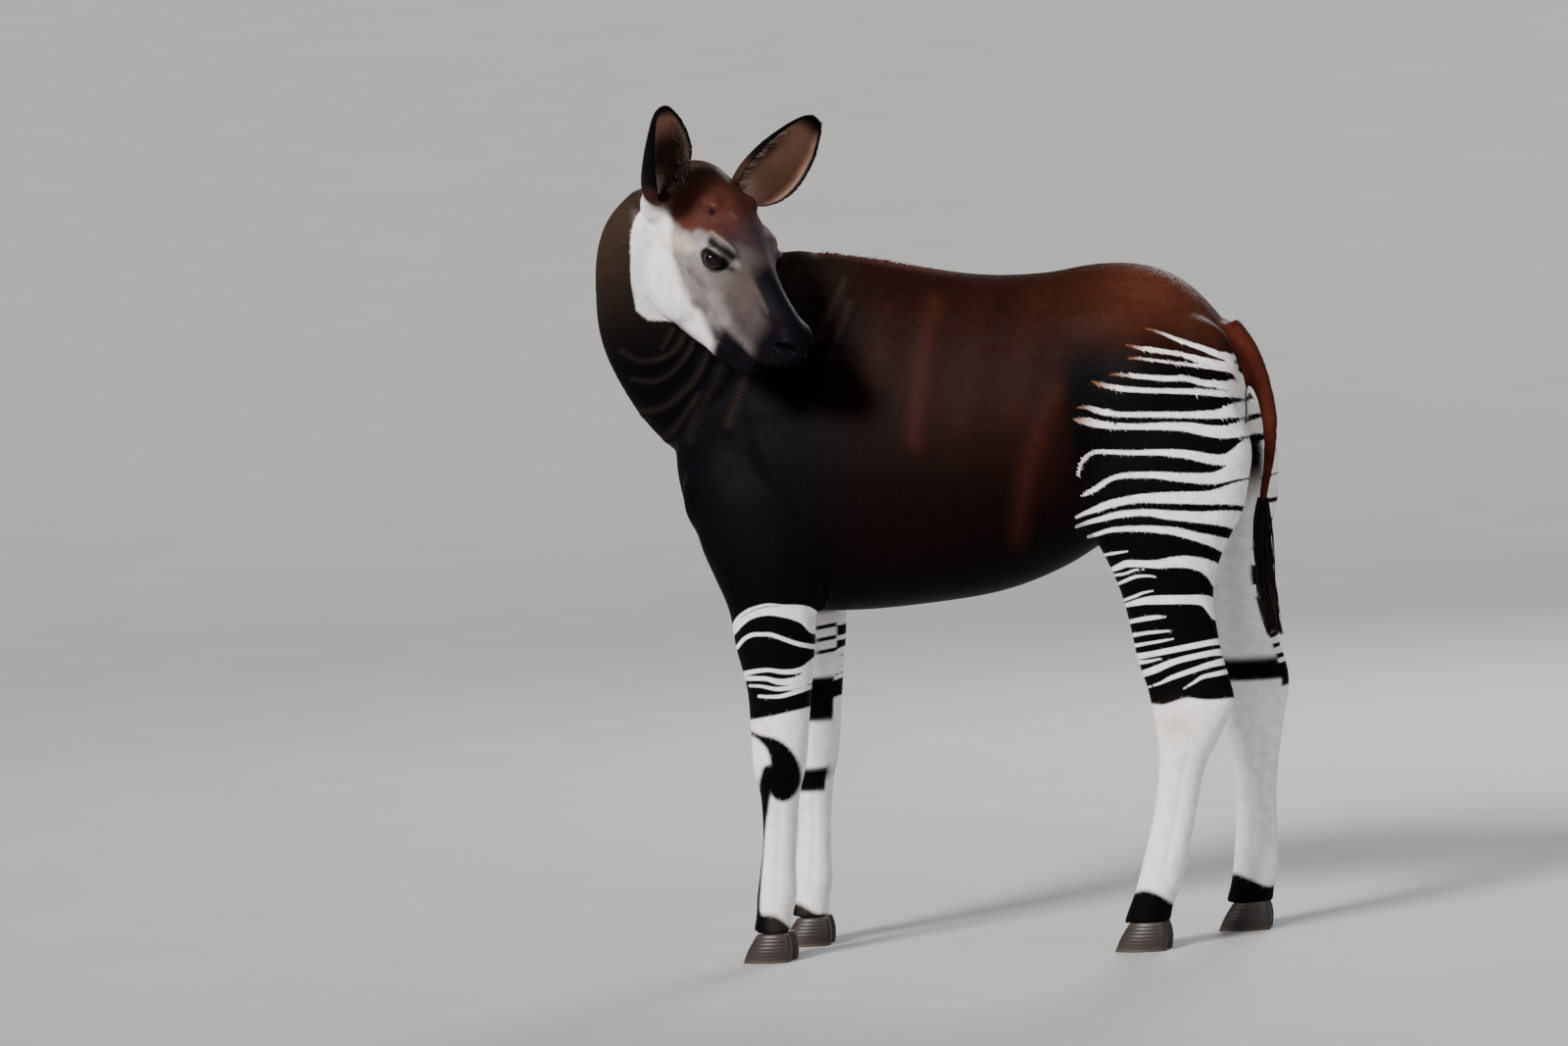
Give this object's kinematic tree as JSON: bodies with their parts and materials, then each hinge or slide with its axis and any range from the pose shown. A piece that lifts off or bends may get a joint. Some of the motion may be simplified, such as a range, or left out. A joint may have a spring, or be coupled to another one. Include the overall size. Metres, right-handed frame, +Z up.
{
  "type": "okapi",
  "caption": "Young okapi standing with its neck and head turned back over its left shoulder; striped legs, large cupped ears, tufted tail, cloven hooves.",
  "frame": {"origin": "middle of the bounding box, at the level of the soles", "axes": "+Z up, -X the way the body faces, -Y its left side; the head looks back over -Y"},
  "size_m": [1.2364, 0.6002, 1.576],
  "materials": {
    "eye": "wet and glossy",
    "hair_body": "short sleek dark brown hair",
    "hair_ear": "short dark hair, pale inside the cup",
    "hair_head": "short grey-brown hair",
    "hair_legs": "short hair, white with black bands",
    "hair_neck": "short grey-brown hair",
    "hair_tail": "short brown hair",
    "hair_tuft": "long black hair",
    "horn": "dull horn"
  },
  "bodies": {
    "root": {"ear_left": "hair_ear", "ear_right": "hair_ear", "eye_left": "eye", "eye_right": "eye", "foreleg_left_lower": "hair_legs", "foreleg_left_upper": "hair_legs", "foreleg_right_lower": "hair_legs", "foreleg_right_upper": "hair_legs", "head": "hair_head", "hindleg_left_lower": "hair_legs", "hindleg_left_upper": "hair_legs", "hindleg_right_lower": "hair_legs", "hindleg_right_upper": "hair_legs", "hoof_fore_left_left": "horn", "hoof_fore_left_right": "horn", "hoof_fore_right_left": "horn", "hoof_fore_right_right": "horn", "hoof_hind_left_left": "horn", "hoof_hind_left_right": "horn", "hoof_hind_right_left": "horn", "hoof_hind_right_right": "horn", "neck_lower": "hair_neck", "neck_middle": "hair_neck", "neck_upper": "hair_neck", "tail": "hair_tail", "tail_tuft": "hair_tuft", "torso": "hair_body"}
  },
  "joints": []
}
